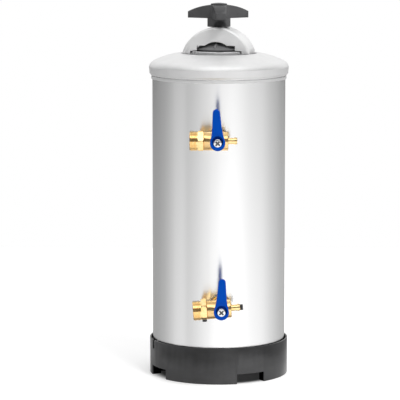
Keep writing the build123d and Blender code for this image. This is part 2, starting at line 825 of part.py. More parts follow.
def build_lever(tap):
    """Moulded lever: a round boss, a waisted arm and a rounded tip, pointing up at rest."""
    arm_back = lever_front_plane - lever_arm_thickness
    with BuildPart() as lever:
        with BuildSketch(tap.outward(arm_back, tap.lever_clocking)):
            tip_centre = lever_reach - lever_tip_radius
            root_x = lever_boss_radius * cos(radians(lever_root_angle))
            root_y = lever_boss_radius * sin(radians(lever_root_angle))
            with BuildLine():
                ThreePointArc(
                    (root_x, root_y),
                    (lever_waist_half_width, lever_waist_reach),
                    (lever_tip_radius, tip_centre),
                )
                ThreePointArc(
                    (lever_tip_radius, tip_centre), (0, lever_reach), (-lever_tip_radius, tip_centre)
                )
                ThreePointArc(
                    (-lever_tip_radius, tip_centre),
                    (-lever_waist_half_width, lever_waist_reach),
                    (-root_x, root_y),
                )
                Line((-root_x, root_y), (root_x, root_y))
            make_face()
            Circle(lever_boss_radius)
        extrude(amount=lever_arm_thickness)
        front = lever.faces().sort_by(Axis(tap.outward(0).origin, tap.outward(0).z_dir))[-1]
        fillet(front.edges(), lever_edge_round)
        rod(tap.outward(lever_back_plane), lever_boss_radius - lever_edge_round / 2,
            lever_boss_height - lever_edge_round)
        rod(tap.outward(lever_front_plane - lever_recess_depth), lever_recess_radius,
            lever_recess_depth + overrun, mode=Mode.SUBTRACT)
        with BuildSketch(tap.outward(lever_back_plane - overrun, tap.lever_clocking)):
            Circle(stem_radius + fit_gap)
            Rectangle(3 * stem_radius, 2 * (stem_flat + fit_gap), mode=Mode.INTERSECT)
        extrude(amount=lever_boss_height + overrun, mode=Mode.SUBTRACT)
    lever.part.label = f"{tap.name}_lever"
    export_step(lever.part, f"parts/{lever.part.label}.step")


def build_screw(tap):
    """Round-headed screw with a cross recess that holds the lever on the stem."""
    head_base = lever_front_plane - lever_recess_depth
    with BuildPart() as screw:
        rod(tap.outward(head_base), screw_head_radius, screw_head_height)
        rim = screw.edges().filter_by(GeomType.CIRCLE).sort_by(
            Axis(tap.outward(0).origin, tap.outward(0).z_dir))[-1]
        fillet(rim, screw_head_height / 2)
        rod(tap.outward(head_base - screw_shank_length), screw_shank_radius, screw_shank_length)
        with BuildSketch(tap.outward(head_base + screw_head_height, tap.lever_clocking + quarter_turn / 2)):
            Rectangle(screw_cross_length, screw_cross_width)
            Rectangle(screw_cross_width, screw_cross_length)
        extrude(amount=-screw_cross_depth, mode=Mode.SUBTRACT)
    screw.part.label = f"{tap.name}_lever_screw"
    export_step(screw.part, f"parts/{screw.part.label}.step")


for tap in taps:
    build_tap_body(tap)
    build_union(tap)
    build_seats(tap)
    build_barb(tap)
    build_gland(tap)
    build_packing(tap)
    build_lock_nut(tap)
    build_washer(tap)
    build_ball(tap)
    build_stem(tap)
    build_lever(tap)
    build_screw(tap)

# The lower tap's flow insert and the small plug under its hexagon
lower_tap = taps[1]
barb_end = barrel_right + barb_length
with BuildPart() as flow_insert:
    rod(lower_tap.along(barb_end), insert_radius, insert_reach)
    rod(lower_tap.along(barb_end - insert_tail), barb_bore - fit_gap, insert_tail)
    rod(lower_tap.along(barb_end - insert_tail - overrun), barb_bore / 2,
        insert_tail + insert_reach + 2 * overrun, mode=Mode.SUBTRACT)

flow_insert.part.label = "flow_insert"
export_step(flow_insert.part, "parts/flow_insert.step")

with BuildPart() as drain_plug:
    rod(plug_plane(lower_tap).offset(-plug_height), plug_radius, plug_height)
    rod(plug_plane(lower_tap), plug_radius - 2 * fit_gap, plug_tail)

drain_plug.part.label = "drain_plug"
export_step(drain_plug.part, "parts/drain_plug.step")


# Yoke: a hollow arch with a shaped front plate, open behind, and a lip along each foot
with BuildPart() as yoke:
    spring_height = yoke_arc_centre + sqrt(yoke_arc_radius**2 - yoke_half_width**2)
    with BuildSketch(closure_front()):
        with BuildLine():
            ThreePointArc((yoke_half_width, spring_height), (0, yoke_top), (-yoke_half_width, spring_height))
            Polyline(
                (-yoke_half_width, spring_height),
                (-yoke_half_width, lip_bottom),
                (yoke_half_width, lip_bottom),
                (yoke_half_width, spring_height),
            )
        make_face()
    extrude(amount=yoke_depth / 2, both=True)
    front_direction = Axis(closure_front().origin, closure_front().z_dir)
    plate_faces = yoke.faces().sort_by(front_direction)
    rims = plate_faces[0].edges() + plate_faces[-1].edges()
    fillet(rims.filter_by(lambda edge: edge.center().Z > lip_bottom + yoke_edge_round), yoke_edge_round)

    # hollow between the plates
    inner_spring = yoke_arc_centre + sqrt(yoke_inner_radius**2 - yoke_inner_half_width**2)
    with BuildSketch(closure_front(yoke_depth / 2 - yoke_plate)):
        with BuildLine():
            ThreePointArc(
                (yoke_inner_half_width, inner_spring),
                (0, yoke_top - yoke_wall),
                (-yoke_inner_half_width, inner_spring),
            )
            Polyline(
                (-yoke_inner_half_width, inner_spring),
                (-yoke_inner_half_width, lip_bottom - overrun),
                (yoke_inner_half_width, lip_bottom - overrun),
                (yoke_inner_half_width, inner_spring),
            )
        make_face()
    extrude(amount=-(yoke_depth - 2 * yoke_plate), mode=Mode.SUBTRACT)

    # opening in the front plate, cut round the lid and over the neck ring
    with BuildSketch(closure_front(yoke_depth / 2 + overrun)):
        with BuildLine():
            Polyline(
                (opening_bump_half_width, opening_step),
                (opening_step_half_width, opening_step),
                (opening_step_half_width, opening_sill_inner),
                (lip_inner - lip_reach_gap, opening_sill_outer),
                (lip_inner, lip_top),
                (lip_inner, lip_bottom - overrun),
                (-lip_inner, lip_bottom - overrun),
                (-lip_inner, lip_top),
                (-lip_inner + lip_reach_gap, opening_sill_outer),
                (-opening_step_half_width, opening_sill_inner),
                (-opening_step_half_width, opening_step),
                (-opening_bump_half_width, opening_step),
            )
            ThreePointArc(
                (-opening_bump_half_width, opening_step),
                (0, opening_bump_top),
                (opening_bump_half_width, opening_step),
            )
        make_face()
    extrude(amount=-(yoke_plate + overrun + overrun / 2), mode=Mode.SUBTRACT)

    # rear opening, wide enough for the whole lid
    rear_radius = yoke_inner_radius - rear_rim
    rear_half_width = sqrt(rear_radius**2 - (rear_sill - yoke_arc_centre) ** 2)
    with BuildSketch(closure_front(-yoke_depth / 2 + yoke_plate + overrun / 2)):
        with BuildLine():
            ThreePointArc(
                (rear_half_width, rear_sill),
                (0, yoke_arc_centre + rear_radius),
                (-rear_half_width, rear_sill),
            )
            Polyline(
                (-rear_half_width, rear_sill),
                (-yoke_inner_half_width, rear_sill),
                (-yoke_inner_half_width, lip_bottom - overrun),
                (yoke_inner_half_width, lip_bottom - overrun),
                (yoke_inner_half_width, rear_sill),
                (rear_half_width, rear_sill),
            )
        make_face()
    extrude(amount=-(yoke_plate + overrun + overrun / 2), mode=Mode.SUBTRACT)

    # lips that run in the neck ring's grooves
    lip_width = yoke_inner_half_width - lip_inner
    with BuildSketch(closure_front(yoke_depth / 2 - yoke_plate)):
        with Locations(
            (lip_inner + lip_width / 2, (lip_bottom + lip_top) / 2),
            (-lip_inner - lip_width / 2, (lip_bottom + lip_top) / 2),
        ):
            Rectangle(lip_width, lip_top - lip_bottom)
    extrude(amount=-(yoke_depth - yoke_plate))

    # boss and bore for the threaded bush
    rod(Plane.XY.offset(bush_bottom + bush_flange), bush_boss_radius,
        yoke_top - yoke_wall / 2 - bush_bottom - bush_flange)
    rod(Plane.XY.offset(bush_bottom), bush_radius, yoke_top - bush_bottom + overrun, mode=Mode.SUBTRACT)

yoke.part.label = "yoke"
export_step(yoke.part, "parts/yoke.step")

# Threaded bush, flanged under the yoke's boss
with BuildPart() as yoke_bush:
    rod(Plane.XY.offset(bush_bottom), bush_flange_radius, bush_flange)
    rod(Plane.XY.offset(bush_bottom), bush_radius - fit_gap / 2, yoke_top - bush_bottom)
    rod(Plane.XY.offset(bush_bottom - overrun), spindle_radius + fit_gap,
        yoke_top - bush_bottom + 2 * overrun, mode=Mode.SUBTRACT)

yoke_bush.part.label = "yoke_bush"
export_step(yoke_bush.part, "parts/yoke_bush.step")

# Lid: a dished cone with a boss in the middle, radial ribs and a hollow underside
with BuildPart() as lid:
    rim_top = lid_bottom + lid_rim
    with BuildSketch(Plane.XZ):
        with BuildLine():
            Polyline((0, lid_top), (lid_boss_radius, lid_top))
            ThreePointArc(
                (lid_boss_radius, lid_top),
                (lid_dish_radius, lid_top - lid_dish_drop),
                (lid_shoulder_radius, rim_top),
            )
            Polyline(
                (lid_shoulder_radius, rim_top),
                (lid_radius, rim_top),
                (lid_radius, lid_bottom),
                (lid_shoulder_radius - lid_wall, lid_bottom),
                (lid_boss_radius, lid_top - 2 * lid_wall),
                (0, lid_top - 2 * lid_wall),
                (0, lid_top),
            )
        make_face()
    revolve(axis=Axis.Z)
    for number in range(lid_rib_count):
        rib_azimuth = closure_azimuth + number * full_turn / lid_rib_count
        # each rib is a thin blade whose plane runs through the tank's axis
        blade = closure_front(0, rib_azimuth + quarter_turn)
        with BuildSketch(blade):
            with BuildLine():
                Polyline(
                    (-lid_boss_radius + lid_wall, lid_top),
                    (-lid_boss_radius, lid_top),
                    (-lid_shoulder_radius - lid_rib_foot, rim_top + lid_rib_foot / 2),
                    (-lid_shoulder_radius - lid_rib_foot, rim_top - lid_rim / 2),
                    (-lid_shoulder_radius + lid_wall, rim_top - lid_rim / 2),
                    (-lid_boss_radius + lid_wall, lid_top - lid_wall),
                    close=True,
                )
            make_face()
        extrude(amount=lid_rib / 2, both=True)

lid.part.label = "lid"
export_step(lid.part, "parts/lid.step")

with BuildPart() as lid_gasket:
    with BuildSketch(Plane.XY.offset(gasket_bottom)):
        Circle(lid_radius - seat_gap)
        Circle(lid_radius - seat_gap - gasket_width, mode=Mode.SUBTRACT)
    extrude(amount=gasket_thickness)

lid_gasket.part.label = "lid_gasket"
export_step(lid_gasket.part, "parts/lid_gasket.step")

# Spindle with a ball tip that turns in the swivel pad
tip_height = pad_bottom + pad_thickness / 2
with BuildPart() as spindle:
    with Locations((0, 0, tip_height)):
        Sphere(tip_radius)
    rod(Plane.XY.offset(tip_height), tip_neck_radius, pad_thickness)
    rod(Plane.XY.offset(pad_bottom + pad_thickness + seat_gap), spindle_radius,
        spindle_top - pad_bottom - pad_thickness - seat_gap)

spindle.part.label = "spindle"
export_step(spindle.part, "parts/spindle.step")

with BuildPart() as thrust_pad:
    rod(Plane.XY.offset(pad_bottom), pad_radius, pad_thickness)
    chamfer(thrust_pad.edges().filter_by(GeomType.CIRCLE), pad_edge)
    with Locations((0, 0, tip_height)):
        Sphere(tip_radius + fit_gap, mode=Mode.SUBTRACT)
    rod(Plane.XY.offset(tip_height), tip_neck_radius + fit_gap, pad_thickness, mode=Mode.SUBTRACT)

thrust_pad.part.label = "thrust_pad"
export_step(thrust_pad.part, "parts/thrust_pad.step")

# Knob: three tapered lobes joined by concave webs, under a crown that falls to the tips
with BuildPart() as knob:
    with BuildSketch(Plane.XY.offset(lobe_bottom)) as star:
        with PolarLocations(0, lobe_count, start_angle=polar(knob_turn)):
            Polygon(
                (0, lobe_root_half_width),
                (lobe_reach, lobe_tip_half_width),
                (lobe_reach, -lobe_tip_half_width),
                (0, -lobe_root_half_width),
                align=None,
            )
        by_reach = star.vertices().sort_by(lambda corner: corner.X**2 + corner.Y**2)
        fillet(by_reach[-2 * lobe_count:], lobe_tip_round)
        by_reach = star.vertices().sort_by(lambda corner: corner.X**2 + corner.Y**2)
        fillet(by_reach[:lobe_count], lobe_web_radius)
    extrude(amount=lobe_root_top - lobe_bottom)
    with BuildSketch(Plane.XZ):
        with BuildLine():
            crown = ThreePointArc(
                (cap_radius, lobe_root_top),
                (lobe_shoulder_radius, lobe_shoulder_top),
                (lobe_reach + overrun, lobe_tip_top - overrun / 2),
            )
            Polyline(
                crown @ 1,
                (lobe_reach + overrun, lobe_bottom),
                (0, lobe_bottom),
                (0, lobe_root_top),
                crown @ 0,
            )
        make_face()
    revolve(axis=Axis.Z, mode=Mode.INTERSECT)
    rod(Plane.XY.offset(knob_bottom), knob_hub_radius, knob_hub_height)
    rod(Plane.XY.offset(lobe_root_top - cap_recess), cap_radius - 2 * cap_rise, cap_recess + overrun,
        mode=Mode.SUBTRACT)
    with BuildSketch(Plane.XY.offset(spindle_top - insert_length)):
        RegularPolygon(insert_flats / 2 + fit_gap / 2, hexagon_side_count, major_radius=False)
    extrude(amount=insert_length + fit_gap, mode=Mode.SUBTRACT)
    rod(Plane.XY.offset(knob_bottom - overrun), spindle_radius + fit_gap, spindle_top - knob_bottom,
        mode=Mode.SUBTRACT)

knob.part.label = "knob"
export_step(knob.part, "parts/knob.step")

with BuildPart() as knob_insert:
    with BuildSketch(Plane.XY.offset(spindle_top - insert_length)):
        RegularPolygon(insert_flats / 2, hexagon_side_count, major_radius=False)
        Circle(spindle_radius + fit_gap / 2, mode=Mode.SUBTRACT)
    extrude(amount=insert_length)

knob_insert.part.label = "knob_insert"
export_step(knob_insert.part, "parts/knob_insert.step")

# Domed cap that snaps into the knob's crown
with BuildPart() as knob_cap:
    cap_foot = lobe_root_top + fit_gap
    with BuildSketch(Plane.XZ):
        with BuildLine():
            dome_radius = (cap_radius**2 + cap_dome**2) / (2 * cap_dome)
            dome = RadiusArc(
                (cap_radius, cap_foot + cap_rise), (0, cap_foot + cap_rise + cap_dome), -dome_radius
            )
            Polyline(
                dome @ 1,
                (0, cap_foot - cap_recess + fit_gap),
                (cap_radius - 2 * cap_rise - fit_gap, cap_foot - cap_recess + fit_gap),
                (cap_radius - 2 * cap_rise - fit_gap, cap_foot),
                (cap_radius, cap_foot),
                dome @ 0,
            )
        make_face()
    revolve(axis=Axis.Z)

knob_cap.part.label = "knob_cap"
export_step(knob_cap.part, "parts/knob_cap.step")
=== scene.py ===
"""Looks of the manual water softener, dressed round its CAD frame.

Objects and nodes are in metres, in the CAD's own frame. The tables of shapes are in mm.
"""
from math import cos, hypot, pi, radians, sin, tau

import bmesh
import bpy
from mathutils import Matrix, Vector
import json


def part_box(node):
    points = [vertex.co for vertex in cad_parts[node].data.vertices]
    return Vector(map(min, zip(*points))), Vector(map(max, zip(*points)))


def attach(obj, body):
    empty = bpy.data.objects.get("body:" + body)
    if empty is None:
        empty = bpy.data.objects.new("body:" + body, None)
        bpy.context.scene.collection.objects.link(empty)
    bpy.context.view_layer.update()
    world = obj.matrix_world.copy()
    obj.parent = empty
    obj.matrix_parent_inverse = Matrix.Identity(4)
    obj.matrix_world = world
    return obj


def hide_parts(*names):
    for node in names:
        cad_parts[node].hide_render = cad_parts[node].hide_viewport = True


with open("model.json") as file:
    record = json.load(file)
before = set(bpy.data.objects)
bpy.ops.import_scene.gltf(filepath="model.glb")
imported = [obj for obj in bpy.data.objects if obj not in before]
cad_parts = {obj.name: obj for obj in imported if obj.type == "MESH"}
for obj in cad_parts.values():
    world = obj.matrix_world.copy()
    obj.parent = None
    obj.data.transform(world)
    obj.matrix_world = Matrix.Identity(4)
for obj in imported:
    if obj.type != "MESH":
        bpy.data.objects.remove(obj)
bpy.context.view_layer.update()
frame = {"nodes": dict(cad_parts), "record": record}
nodes = frame["nodes"]
MM = 0.001
TAPS = ("upper", "lower")
UP = Vector((0, 0, 1))


# Materials

def linear(*srgb):
    """Linear RGBA of an sRGB colour given in 0..255."""
    def channel(value):
        if value <= 10:
            return value / 255 / 12.92
        return ((value / 255 + 0.055) / 1.055) ** 2.4
    return tuple(channel(value) for value in srgb) + (1.0,)


def grey(level):
    """Linear RGBA of a neutral tone."""
    return (level, level, level, 1)


class Surface:
    """A node material under construction: a Principled shader and the textures that feed it."""

    def __init__(self, name, colour, roughness, metallic=0.0, **sockets):
        self.material = bpy.data.materials.new(name)
        self.material.use_nodes = True
        self.tree = self.material.node_tree
        self.shader = self.tree.nodes["Principled BSDF"]
        self.shader.inputs["Base Color"].default_value = colour
        self.shader.inputs["Roughness"].default_value = roughness
        self.shader.inputs["Metallic"].default_value = metallic
        for socket, value in sockets.items():
            self.shader.inputs[socket.replace("_", " ")].default_value = value
        self.coordinates = self.add("ShaderNodeTexCoord").outputs["Object"]
        self.normal = None

    def add(self, kind, **values):
        node = self.tree.nodes.new(kind)
        for key, value in values.items():
            setattr(node, key, value)
        return node

    def link(self, source, target):
        self.tree.links.new(source, target)

    def mapped(self, scale, place=(0, 0, 0), kind="POINT"):
        """The object's own coordinates, scaled, or seen from a place if the kind is TEXTURE."""
        mapping = self.add("ShaderNodeMapping", vector_type=kind)
        mapping.inputs["Location"].default_value = place
        mapping.inputs["Scale"].default_value = scale
        self.link(self.coordinates, mapping.inputs["Vector"])
        return mapping.outputs["Vector"]

    def noise(self, scale, detail=3.0, rough=0.5, stretch=(1, 1, 1)):
        """Noise over the object's own coordinates, stretched along its axes."""
        texture = self.add("ShaderNodeTexNoise")
        texture.inputs["Scale"].default_value = scale
        texture.inputs["Detail"].default_value = detail
        texture.inputs["Roughness"].default_value = rough
        self.link(self.mapped(stretch), texture.inputs["Vector"])
        return texture.outputs["Fac"]

    def spread(self, source, low, high, start=0.3, end=0.7):
        """The source's middle range mapped to low..high."""
        ranges = self.add("ShaderNodeMapRange")
        ranges.inputs["From Min"].default_value = start
        ranges.inputs["From Max"].default_value = end
        ranges.inputs["To Min"].default_value = low
        ranges.inputs["To Max"].default_value = high
        self.link(source, ranges.inputs["Value"])
        return ranges.outputs["Result"]

    def tint(self, source, first, second, start=0.35, end=0.65):
        """Base colour that runs from one colour to another with the source."""
        ramp = self.add("ShaderNodeValToRGB")
        stops = zip(ramp.color_ramp.elements, (start, end), (first, second))
        for stop, position, colour in stops:
            stop.position = position
            stop.color = colour
        self.link(source, ramp.inputs["Fac"])
        self.link(ramp.outputs["Color"], self.shader.inputs["Base Color"])

    def blend(self, share, colour):
        """The base colour so far, mixed with another one by a share."""
        base = self.shader.inputs["Base Color"]
        mix = self.add("ShaderNodeMix", data_type="RGBA")
        self.link(share, mix.inputs["Factor"])
        self.link(base.links[0].from_socket, mix.inputs["A"])
        mix.inputs["B"].default_value = colour
        self.link(mix.outputs["Result"], base)

    def paint_shade_round(self, place, reach, colour):
        """Painted shade: deeper colour inside a soft-edged ellipsoid at a place on the object."""
        rim, heart = 0.02, 0.30
        ball = self.add("ShaderNodeTexGradient", gradient_type="SPHERICAL")
        self.link(self.mapped(reach, place, "TEXTURE"), ball.inputs["Vector"])
        self.blend(self.spread(ball.outputs["Fac"], 0.0, 1.0, rim, heart), colour)

    def paint_shade_inside(self, inner, outer, colour):
        """Painted shade: deeper and dull nearer the Z axis than the outer radius, fully from the
        inner one in.
        """
        radius = self.add("ShaderNodeVectorMath", operation="LENGTH")
        self.link(self.mapped((1, 1, 0)), radius.inputs[0])
        radius = radius.outputs["Value"]
        self.blend(self.spread(radius, 1.0, 0.0, inner, outer), colour)
        for name in ("Specular IOR Level", "Sheen Weight"):
            socket = self.shader.inputs[name]
            self.link(self.spread(radius, 0.0, socket.default_value, inner, outer), socket)

    def roughen(self, source, low, high):
        self.link(self.spread(source, low, high), self.shader.inputs["Roughness"])

    def bump(self, source, strength, distance=0.0001):
        """Adds a bump on top of those that are there."""
        bump = self.add("ShaderNodeBump")
        bump.inputs["Strength"].default_value = strength
        bump.inputs["Distance"].default_value = distance
        self.link(source, bump.inputs["Height"])
        if self.normal is not None:
            self.link(self.normal, bump.inputs["Normal"])
        self.normal = bump.outputs["Normal"]
        self.link(self.normal, self.shader.inputs["Normal"])


def brushed_round(name, light, dark, roughness, grain=3200.0):
    """Steel brushed round the Z axis: fine level lines, reflections drawn out up and down."""
    surface = Surface(name, light, roughness, 1.0, Anisotropic=0.70, Anisotropic_Rotation=0.25)
    lines = surface.noise(1.0, rough=0.6, stretch=(9.0, 9.0, grain))
    surface.tint(lines, dark, light, start=0.3, end=0.7)
    surface.roughen(lines, roughness - 0.01, roughness + 0.01)
    surface.bump(lines, strength=0.004, distance=0.00005)
    tangent = surface.add("ShaderNodeTangent", direction_type="RADIAL", axis="Z")
    surface.link(tangent.outputs["Tangent"], surface.shader.inputs["Tangent"])
    return surface.material


def blasted_steel(name, light, dark, roughness, metallic=1.0):
    """Bead-blasted steel: an even satin with a very fine grain."""
    surface = Surface(name, light, roughness, metallic)
    clouds = surface.noise(60.0, detail=4.0, rough=0.6)
    gloss = surface.noise(1400.0, detail=2.0, rough=0.6)
    grain = surface.noise(2600.0, detail=2.0, rough=0.6)
    surface.tint(clouds, dark, light, start=0.3, end=0.7)
    surface.roughen(gloss, roughness - 0.04, roughness + 0.06)
    surface.bump(grain, strength=0.12)
    return surface.material


def moulded(name, colour, lighter, roughness, grain=1800.0, bump=0.15, shade_spots=(), **sockets):
    """Moulded plastic: a fine texture, a slow, faint change of tone, and spots of painted shade if
    any.
    """
    surface = Surface(name, colour, roughness, 0.0, **sockets)
    surface.tint(surface.noise(25.0), colour, lighter)
    for place, reach, deeper in shade_spots:
        surface.paint_shade_round(place, reach, deeper)
    surface.roughen(surface.noise(90.0), roughness - 0.05, roughness + 0.05)
    surface.bump(surface.noise(grain, rough=0.6), bump)
    return surface.material


def brass_surface(name, bright, deep, roughness, grain, bump, distance):
    """Brass with patches of deeper tone and a forged or turned grain."""
    surface = Surface(name, bright, roughness, 1.0)
    surface.tint(surface.noise(140.0, detail=4.0, rough=0.6), deep, bright, start=0.3, end=0.65)
    surface.roughen(surface.noise(320.0, rough=0.6), roughness - 0.06, roughness + 0.09)
    surface.bump(surface.noise(grain, rough=0.6), bump, distance)
    return surface.material


def polished_chrome():
    """Chrome with a faint haze."""
    surface = Surface("chrome", (0.74, 0.74, 0.75, 1), roughness=0.12, metallic=1.0)
    surface.roughen(surface.noise(300.0), 0.08, 0.16)
    surface.bump(surface.noise(900.0, detail=2.0), strength=0.03)
    return surface.material


def base_moulding():
    """Black base with level, cloudy patches, and painted shade inside its wall and its notches."""
    surface = Surface("base_plastic", linear(46, 46, 47), roughness=0.38,
                      Sheen_Weight=0.4, Sheen_Roughness=0.3)
    patches = surface.noise(14.0, detail=4.0, stretch=(1, 1, 2.5))
    surface.tint(patches, linear(40, 40, 41), linear(58, 58, 59))
    skirt_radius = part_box("base_skirt")[1][0]
    # painted shade, dark and dull, on the skirt's inner wall and the cheeks of its notches
    shade_full, shade_starts = 0.0022, 0.0008
    surface.paint_shade_inside(skirt_radius - shade_full, skirt_radius - shade_starts,
                          linear(10, 10, 10))
    surface.roughen(surface.noise(40.0), 0.30, 0.46)
    surface.bump(surface.noise(1800.0, rough=0.6), strength=0.15)
    return surface.material


# Painted shade on the knob, (place, reach, colour): the front lobe's shadow on its hub, and a
# darker front lobe's top
KNOB_PAINTED_SHADE = (
    ((0.0015, -0.015, 0.4725), (0.0100, 0.012, 0.0072), linear(54, 54, 55)),
    ((0, -0.030, 0.497), (0.0120, 0.030, 0.0100), linear(64, 64, 65)),
)

shell_steel = brushed_round("brushed_steel", grey(0.93), grey(0.91), roughness=0.235)
turned_steel = brushed_round("turned_steel", grey(0.84), (0.74, 0.74, 0.75, 1),
                             roughness=0.24, grain=2400.0)
mill_steel = blasted_steel("mill_steel", (0.66, 0.66, 0.67, 1), (0.55, 0.55, 0.56, 1),
                           roughness=0.42)
cover_steel = blasted_steel("cover_steel", grey(0.80), grey(0.76), roughness=0.52, metallic=0.75)
yoke_steel = blasted_steel("yoke_steel", grey(0.81), grey(0.77), roughness=0.5, metallic=0.45)
base_plastic = base_moulding()
# the knob's plastic, with spots of painted shade on its hub and its front lobe's top
knob_plastic = moulded("knob_plastic", linear(78, 78, 79), linear(88, 88, 89),
                       roughness=0.42, shade_spots=KNOB_PAINTED_SHADE, Specular_IOR_Level=0.06)
lid_plastic = moulded("lid_plastic", linear(96, 96, 97), linear(110, 110, 111), roughness=0.34)
lever_plastic = moulded("lever_plastic", linear(0, 64, 166), linear(0, 72, 174),
                        roughness=0.34, grain=2200.0, bump=0.06, Specular_IOR_Level=0.06)
seat_polymer = moulded("seat_polymer", linear(228, 228, 224), linear(238, 238, 236),
                       roughness=0.4)
strainer_plastic = moulded("strainer_plastic", linear(214, 212, 204), linear(226, 225, 220),
                           roughness=0.45)
black_rubber = moulded("black_rubber", linear(28, 28, 28), linear(38, 38, 38),
                       roughness=0.6, grain=1200.0, bump=0.2)
red_fibre = moulded("red_fibre", linear(120, 58, 40), linear(146, 74, 52),
                    roughness=0.75, grain=900.0, bump=0.4)
resin_beads = moulded("resin_beads", linear(120, 70, 26), linear(168, 104, 44),
                      roughness=0.35, grain=900.0, bump=1.0)
forged_brass = brass_surface("forged_brass", (0.88, 0.62, 0.30, 1), (0.74, 0.47, 0.19, 1),
                             roughness=0.20, grain=900.0, bump=0.12, distance=0.0002)
turned_brass = brass_surface("turned_brass", (0.94, 0.72, 0.37, 1), (0.86, 0.59, 0.24, 1),
                             roughness=0.15, grain=1500.0, bump=0.05, distance=0.0001)
chrome = polished_chrome()
# painted shade for the inside of the screws' cross recesses
painted_shade_recess = moulded("painted_shade_recess", linear(78, 78, 80), linear(112, 112, 114),
                      roughness=0.4, grain=1600.0, bump=0.2)

looks = {
    "base_skirt": base_plastic,
    "tank_shell": shell_steel,
    "tank_bottom": mill_steel,
    "tank_top": mill_steel,
    "neck_ring": turned_steel,
    "top_cover": cover_steel,
    "trim_ring": cover_steel,
    "resin_bed": resin_beads,
    "flow_insert": black_rubber,
    "drain_plug": base_plastic,
    "yoke": yoke_steel,
    "yoke_bush": turned_steel,
    "lid": lid_plastic,
    "lid_gasket": black_rubber,
    "thrust_pad": turned_steel,
    "spindle": turned_steel,
    "knob": knob_plastic,
    "knob_insert": turned_brass,
    "knob_cap": knob_plastic,
}
tap_looks = {
    "socket": mill_steel,
    "strainer": strainer_plastic,
    "body": forged_brass,
    "union": turned_brass,
    "seats": seat_polymer,
    "barb": turned_brass,
    "gland": turned_brass,
    "packing": seat_polymer,
    "lock_nut": turned_brass,
    "washer": red_fibre,
    "ball": chrome,
    "stem": turned_brass,
    "lever": lever_plastic,
    "lever_screw": chrome,
}
for tap in TAPS:
    for part, material in tap_looks.items():
        looks[f"{tap}_{part}"] = material
for name, material in looks.items():
    node = nodes[name]
    node.data.materials.clear()
    node.data.materials.append(material)


# Pieces that take the place of CAD nodes

BODY_OF = {node: body for body, members in frame["record"]["behaviour"]["bodies"].items()
           for node in members}


def stand_for(node, mesh, *materials):
    """Puts a mesh in the place of a CAD node, on the same body."""
    piece = bpy.data.objects.new(f"{node}_detail", mesh)
    bpy.context.scene.collection.objects.link(piece)
    # clearing also resets which face has which material, so a new mesh is left alone
    if mesh.materials:
        mesh.materials.clear()
    for material in materials:
        mesh.materials.append(material)
    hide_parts(node)
    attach(piece, BODY_OF[node])
    return piece


def softened(node, width):
    """A copy of a CAD node whose sharp edges are rounded off."""
    same_point, same_plane, sharp_edge = 2e-6, radians(0.8), radians(30)
    mesh = nodes[node].data.copy()
    mesh.name = f"{node}_soft"
    shape = bmesh.new()
    shape.from_mesh(mesh)
    bmesh.ops.remove_doubles(shape, verts=shape.verts, dist=same_point)
    bmesh.ops.dissolve_limit(shape, angle_limit=same_plane, verts=shape.verts, edges=shape.edges)
    for face in shape.faces:
        face.smooth = True
    shape.to_mesh(mesh)
    shape.free()
    bevel = stand_for(node, mesh, looks[node]).modifiers.new("rounding", "BEVEL")
    bevel.width = width
    bevel.segments = 2
    bevel.limit_method = "ANGLE"
    bevel.angle_limit = sharp_edge
    bevel.harden_normals = True
    bevel.use_clamp_overlap = True


def shade_smooth(mesh, sharp):
    """Smooth shading, broken at the edges that turn by more than an angle in degrees."""
    mesh.polygons.foreach_set("use_smooth", [True] * len(mesh.polygons))
    mesh.set_sharp_from_angle(angle=radians(sharp))


def bearings(azimuth):
    """Level directions off the tank and to the right, at an azimuth in degrees from -Y."""
    turn = radians(azimuth)
    return Vector((sin(turn), -cos(turn), 0)), Vector((cos(turn), sin(turn), 0))


# Where the axes of each tap's stem and body cross: degrees round from -Y, height and reach in mm
TAP_AZIMUTH = {"upper": -0.6, "lower": 1.4}
TAP_HEIGHT = {"upper": 328.3, "lower": 106.9}
TAP_REACH = 117.5
# and how its body, its hexagon and its lever are turned, in degrees
BODY_TILT = {"upper": 0.0, "lower": 4.5}
HEXAGON_TURN = {"upper": 25.5, "lower": 0.0}
LEVER_LEAN = {"upper": 2.5, "lower": -1.4}


def tap_frame(tap):
    """Where stem and body cross, and the directions along the body, up it and off the tank."""
    front, right = bearings(TAP_AZIMUTH[tap])
    tilt = radians(BODY_TILT[tap])
    along = right * cos(tilt) + UP * sin(tilt)
    origin = (front * TAP_REACH + Vector((0, 0, TAP_HEIGHT[tap]))) * MM
    return origin, along, front.cross(along), front


# The union along the body's axis: from the thread's end on the left to its seat in the body
THREAD_END = -36.8
THREAD_RELIEF = -27.1
HEXAGON_LEFT = -25.9
HEXAGON_RIGHT = -18.6
SPIGOT_END = -8.1
# its radii
THREAD_CREST = 13.22
THREAD_CHAMFER = 12.05
THREAD_FACE = 12.0
RELIEF_RADIUS = 12.2
SPIGOT_RADIUS = 9.2
WIDE_BORE = 8.0
NARROW_BORE = 4.6
HEXAGON_HALF_FLATS = 13.2
HEXAGON_CORNER = 14.2
HEXAGON_CUT_BELOW = 11.9
# and its thread
THREAD_DEPTH = 1.1
THREAD_PITCH = 1.814
THREAD_STEPS = 66
UNION_COLUMNS = 120


